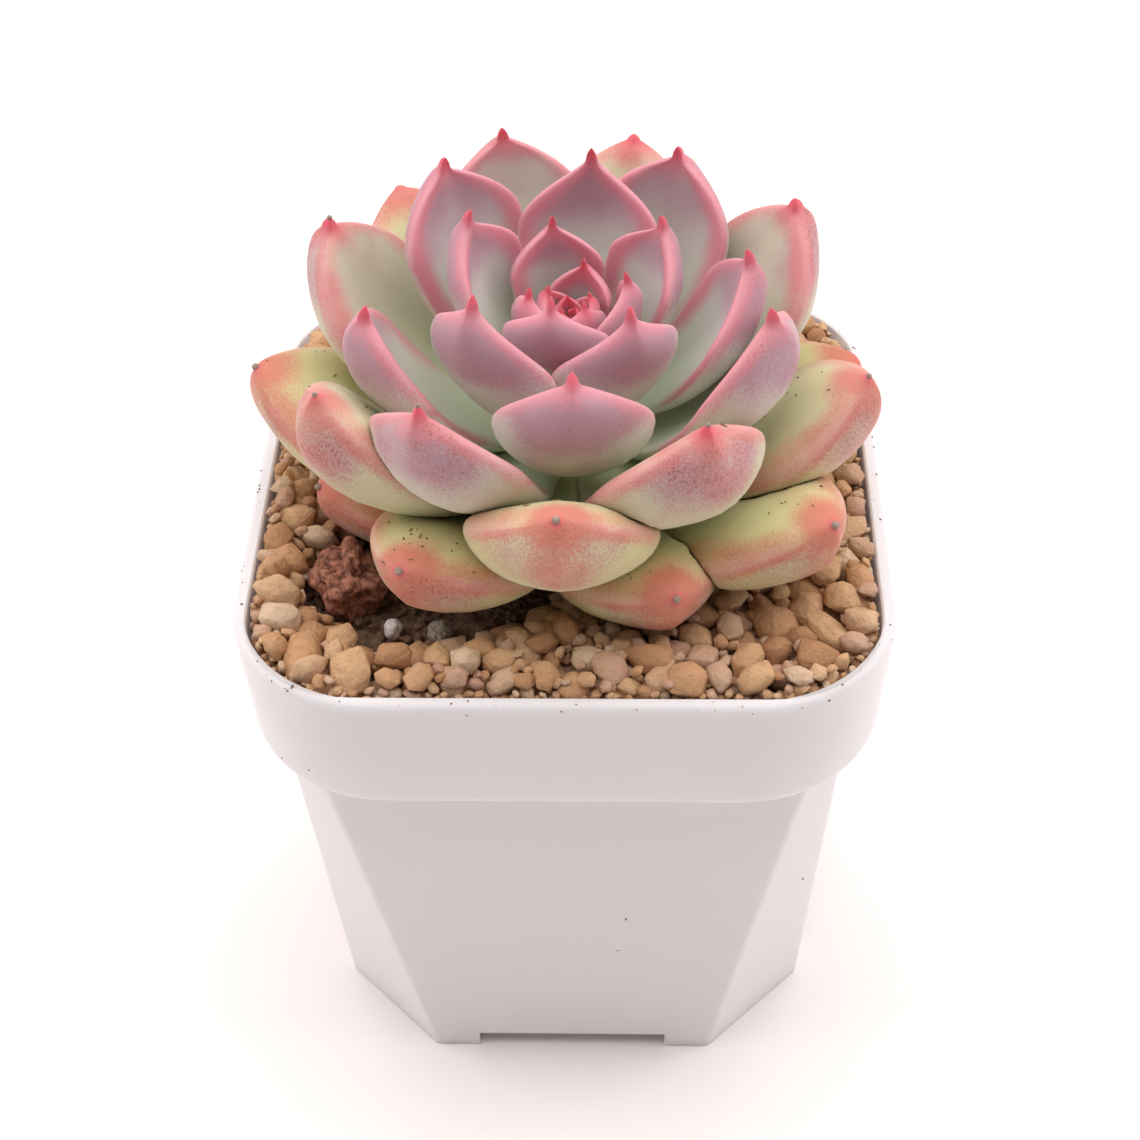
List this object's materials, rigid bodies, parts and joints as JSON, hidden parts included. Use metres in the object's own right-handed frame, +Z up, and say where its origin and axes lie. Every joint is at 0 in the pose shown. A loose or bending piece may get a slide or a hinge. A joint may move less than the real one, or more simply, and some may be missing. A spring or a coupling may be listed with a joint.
{
  "type": "potted succulent",
  "caption": "Rosette succulent with thick pointed pink and green leaves, in gritty mix in a small square tapered plastic pot.",
  "frame": {"origin": "on the surface it stands on, under the middle of the pot", "axes": "+Z up along the pot's and the plant's axis, +X to the right and -Y towards the viewer, each square to a side of the pot"},
  "size_m": [0.07, 0.07, 0.1016],
  "materials": {
    "pot": "satin moulded white plastic",
    "soil": "matt, crumbly dark growing mix",
    "gravel": "matt tan baked clay granules",
    "lava": "rough porous red brown rock",
    "perlite": "matt white porous grain",
    "stem": "matt green brown plant stem",
    "leaf": "matt waxy leaf, green at the base, pink at the margin and red at the tip"
  },
  "bodies": {
    "root": {"pot": "pot", "soil": "soil", "gravel_bed": "gravel", "lava_lump": "lava", "perlite_grain": "perlite", "pumice_grain": "perlite", "stem": "stem", "leaf_01": "leaf", "leaf_02": "leaf", "leaf_03": "leaf", "leaf_04": "leaf", "leaf_05": "leaf", "leaf_06": "leaf", "leaf_07": "leaf", "leaf_08": "leaf", "leaf_09": "leaf", "leaf_10": "leaf", "leaf_11": "leaf", "leaf_12": "leaf", "leaf_13": "leaf", "leaf_14": "leaf", "leaf_15": "leaf", "leaf_16": "leaf", "leaf_17": "leaf", "leaf_18": "leaf", "leaf_19": "leaf", "leaf_20": "leaf", "leaf_21": "leaf", "leaf_22": "leaf", "leaf_23": "leaf", "leaf_24": "leaf", "leaf_25": "leaf", "leaf_26": "leaf", "leaf_27": "leaf", "leaf_28": "leaf", "leaf_29": "leaf", "leaf_30": "leaf", "leaf_31": "leaf", "leaf_32": "leaf", "leaf_33": "leaf", "leaf_34": "leaf", "leaf_35": "leaf", "leaf_36": "leaf", "leaf_37": "leaf", "leaf_38": "leaf", "leaf_39": "leaf", "leaf_40": "leaf", "leaf_41": "leaf", "leaf_42": "leaf", "leaf_43": "leaf", "leaf_44": "leaf"}
  },
  "joints": []
}
